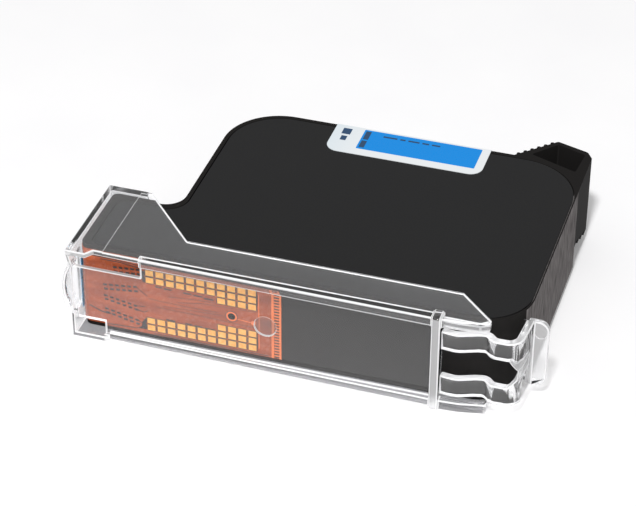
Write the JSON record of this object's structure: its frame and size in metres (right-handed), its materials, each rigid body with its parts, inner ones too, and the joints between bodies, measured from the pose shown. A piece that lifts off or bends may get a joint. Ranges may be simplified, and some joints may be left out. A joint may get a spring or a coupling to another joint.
{
  "type": "thermal inkjet print cartridge",
  "caption": "Flat black inkjet print cartridge with a snout, flex circuit contacts, spring bag inside, a pull handle and a clear protective cap.",
  "frame": {"origin": "middle of the base of the whole object's box, on the surface the cap rests on", "axes": "+X along the contact face from the nozzle end to the grained end, +Y from the contact face to the label edge, +Z through the thickness, label side up"},
  "size_m": [0.0927, 0.0669, 0.0213],
  "materials": {
    "frame_plastic": "fine moulded texture, spark-eroded grain on the end face",
    "liner_plastic": "matt",
    "cover_paint": "charcoal satin paint",
    "bag_film": "metallised film",
    "plate_steel": "rolled",
    "guard_film": "clear film",
    "spring_steel": "bright rolled strip",
    "carrier_plastic": "matt",
    "screen_steel": "woven mesh",
    "ball_steel": "polished",
    "flex_film": "amber polyimide film over copper traces",
    "pad_gold": "gold plate",
    "die_silicon": "polished silicon",
    "encapsulant": "glossy epoxy bead",
    "tape_blue": "thin adhesive tape",
    "label_paper": "printed label with a blue panel",
    "cap_clear": "clear polished moulding",
    "seal_clear": "translucent silicone"
  },
  "bodies": {
    "pen": {"outer_frame": "frame_plastic", "inner_frame": "liner_plastic", "top_cover": "cover_paint", "bottom_cover": "cover_paint", "top_bag_film": "bag_film", "bottom_bag_film": "bag_film", "bow_spring": "spring_steel", "filter_carrier": "carrier_plastic", "top_filter_screen": "screen_steel", "bottom_filter_screen": "screen_steel", "fill_port_ball": "ball_steel", "flex_circuit": "flex_film", "contact_pads": "pad_gold", "printhead_die": "die_silicon", "encapsulant_beads": "encapsulant", "nozzle_tape": "tape_blue", "label": "label_paper"},
    "top_plate": {"top_piston_plate": "plate_steel", "top_edge_guard": "guard_film"},
    "bottom_plate": {"bottom_piston_plate": "plate_steel", "bottom_edge_guard": "guard_film"},
    "cap": {"cap_shell": "cap_clear", "nozzle_seal_pad": "seal_clear"},
    "latch": {"cap_latch": "cap_clear"}
  },
  "joints": [
    {"name": "cap_swing", "type": "hinge", "parent": "pen", "child": "cap", "pos_m": [-0.03645, -0.011, 0.0105], "axis": [0, 0, 1], "range_deg": [-80, 0]},
    {"name": "latch_flex", "type": "hinge", "parent": "cap", "child": "latch", "pos_m": [0.02815, -0.0323, 0.0105], "axis": [0, 0, 1], "range_deg": [-10, 0], "stiffness_Nm_per_rad": 0.3},
    {"name": "top_plate_travel", "type": "slide", "parent": "pen", "child": "top_plate", "axis": [0, 0, -1], "range_m": [0, 0.0062], "stiffness_N_per_m": 100, "springref_m": -0.01, "deforming": ["bow_spring", "top_bag_film"]},
    {"name": "bottom_plate_travel", "type": "slide", "parent": "pen", "child": "bottom_plate", "axis": [0, 0, 1], "range_m": [0, 0.0062], "stiffness_N_per_m": 100, "springref_m": -0.01, "deforming": ["bottom_bag_film"]}
  ],
  "couplings": [
    {"joint": "bottom_plate_travel", "follows": "top_plate_travel", "ratio": 1}
  ]
}
